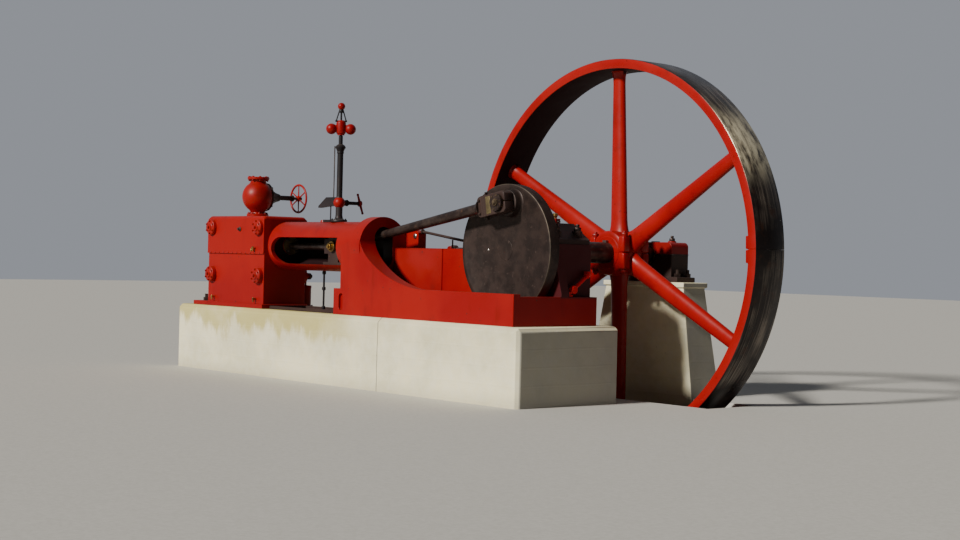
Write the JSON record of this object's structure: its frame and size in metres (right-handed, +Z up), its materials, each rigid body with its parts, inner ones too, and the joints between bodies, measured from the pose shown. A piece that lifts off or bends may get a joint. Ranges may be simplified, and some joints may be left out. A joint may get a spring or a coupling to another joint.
{
  "type": "horizontal side-crank steam engine on a concrete foundation",
  "caption": "Horizontal steam engine with a side crank disc, guide barrel, governor and spoked flywheel, standing on its concrete foundation and outboard pier.",
  "frame": {"origin": "on the base plane of the foundation, below the crossing of the shaft axis and the cylinder axis", "axes": "+X from the cylinder to the crank, +Y from the crank to the flywheel, +Z up"},
  "size_m": [8.381, 3.29, 4.8158],
  "materials": {
    "foundation_block": "weathered concrete",
    "wheel_pit_footing": "damp concrete",
    "outboard_pier": "weathered concrete",
    "bed_frame": "red paint",
    "near_wall_web": "red paint",
    "far_wall_web": "red paint",
    "guide_mouth_ring": "red paint",
    "guide_barrel": "red paint",
    "cylinder_casting": "red paint",
    "cylinder_back_head": "red paint",
    "cylinder_front_head": "red paint",
    "near_valve_covers": "red paint",
    "far_valve_bonnets": "red paint",
    "piston_rod_gland": "dull brass",
    "throttle_body": "red paint",
    "throttle_bonnet": "dark paint",
    "throttle_stem": "oiled steel",
    "throttle_handwheel": "red paint",
    "main_bearing_shells": "dull brass",
    "main_bearing_cap": "dark paint",
    "bearing_adjuster": "red paint",
    "outboard_bearing_base": "dark paint",
    "outboard_bearing_shells": "dull brass",
    "outboard_bearing_cap": "red paint",
    "crankshaft": "brown oxide on steel",
    "crank_disc": "dark brown paint",
    "crank_pin": "oiled steel",
    "crank_oiler": "dull brass",
    "flywheel_upper_half": "red paint, bare steel face on the rim",
    "flywheel_lower_half": "red paint, bare steel face on the rim",
    "rim_joint_bolts": "painted steel",
    "hub_bolts": "painted steel",
    "eccentric_sheave": "oiled iron",
    "eccentric_strap": "red paint",
    "eccentric_rod": "oiled steel",
    "connecting_rod": "brown oxide on steel",
    "big_end_brasses": "dull brass",
    "crosshead": "oiled iron",
    "wrist_pin": "oiled steel",
    "piston_rod": "oiled steel",
    "rocker_bracket": "red paint",
    "rocker_arm": "red paint",
    "reach_rod": "oiled steel",
    "wrist_plate": "red paint",
    "valve_cranks": "oiled steel",
    "valve_rods": "oiled steel",
    "dash_pots": "red paint",
    "governor_column": "black paint",
    "governor_hood": "black paint",
    "governor_head": "red paint",
    "governor_lever": "red paint",
    "foundation_nuts": "rusty steel"
  },
  "bodies": {
    "engine_frame": {"foundation_block": "foundation_block", "wheel_pit_footing": "wheel_pit_footing", "outboard_pier": "outboard_pier", "bed_frame": "bed_frame", "near_wall_web": "near_wall_web", "far_wall_web": "far_wall_web", "guide_mouth_ring": "guide_mouth_ring", "guide_barrel": "guide_barrel", "cylinder_casting": "cylinder_casting", "cylinder_back_head": "cylinder_back_head", "cylinder_front_head": "cylinder_front_head", "near_valve_covers": "near_valve_covers", "far_valve_bonnets": "far_valve_bonnets", "piston_rod_gland": "piston_rod_gland", "throttle_body": "throttle_body", "throttle_bonnet": "throttle_bonnet", "main_bearing_shells": "main_bearing_shells", "main_bearing_cap": "main_bearing_cap", "bearing_adjuster": "bearing_adjuster", "outboard_bearing_base": "outboard_bearing_base", "outboard_bearing_shells": "outboard_bearing_shells", "outboard_bearing_cap": "outboard_bearing_cap", "rocker_bracket": "rocker_bracket", "rocker_arm": "rocker_arm", "reach_rod": "reach_rod", "wrist_plate": "wrist_plate", "valve_cranks": "valve_cranks", "valve_rods": "valve_rods", "dash_pots": "dash_pots", "governor_column": "governor_column", "governor_hood": "governor_hood", "foundation_nuts": "foundation_nuts"},
    "crankshaft_with_wheel": {"crankshaft": "crankshaft", "crank_disc": "crank_disc", "crank_pin": "crank_pin", "crank_oiler": "crank_oiler", "flywheel_upper_half": "flywheel_upper_half", "flywheel_lower_half": "flywheel_lower_half", "rim_joint_bolts": "rim_joint_bolts", "hub_bolts": "hub_bolts", "eccentric_sheave": "eccentric_sheave"},
    "connecting_rod": {"connecting_rod": "connecting_rod", "big_end_brasses": "big_end_brasses"},
    "crosshead_with_rod": {"crosshead": "crosshead", "wrist_pin": "wrist_pin", "piston_rod": "piston_rod"},
    "eccentric_strap_with_rod": {"eccentric_strap": "eccentric_strap", "eccentric_rod": "eccentric_rod"},
    "throttle_wheel": {"throttle_stem": "throttle_stem", "throttle_handwheel": "throttle_handwheel"},
    "governor_balls": {"governor_head": "governor_head"},
    "governor_lever": {"governor_lever": "governor_lever"}
  },
  "joints": [
    {"name": "crankshaft_turn", "type": "hinge", "parent": "engine_frame", "child": "crankshaft_with_wheel", "pos_m": [0, 1.983, 2.531], "axis": [0, 1, 0], "range_deg": [-8, 8]},
    {"name": "connecting_rod_swing", "type": "hinge", "parent": "crankshaft_with_wheel", "child": "connecting_rod", "pos_m": [0.11536, 0, 3.05137], "axis": [0, 1, 0], "range_deg": [-8.8, 8.8]},
    {"name": "crosshead_slide", "type": "slide", "parent": "engine_frame", "child": "crosshead_with_rod", "axis": [1, 0, 0], "range_m": [-0.09, 0.09]},
    {"name": "eccentric_strap_swing", "type": "hinge", "parent": "crankshaft_with_wheel", "child": "eccentric_strap_with_rod", "pos_m": [-0.09, 1.01, 2.531], "axis": [0, 1, 0], "range_deg": [-8.8, 8.8]},
    {"name": "throttle_wheel_turn", "type": "hinge", "parent": "engine_frame", "child": "throttle_wheel", "pos_m": [-4.806, 0.65, 3.178], "axis": [0, 1, 0], "continuous": true},
    {"name": "governor_spin", "type": "hinge", "parent": "engine_frame", "child": "governor_balls", "pos_m": [-2.952, 0, 3.916], "axis": [0, 0, 1], "continuous": true},
    {"name": "governor_lever_rock", "type": "hinge", "parent": "engine_frame", "child": "governor_lever", "pos_m": [-2.952, 0.32, 3.081], "axis": [0, 1, 0], "range_deg": [-15, 15]}
  ],
  "couplings": [
    {"joint": "connecting_rod_swing", "follows": "crankshaft_turn", "ratio": -0.96174},
    {"joint": "crosshead_slide", "follows": "crankshaft_turn", "m_per_rad": 0.50046},
    {"joint": "eccentric_strap_swing", "follows": "crankshaft_turn", "ratio": -1.0497}
  ]
}
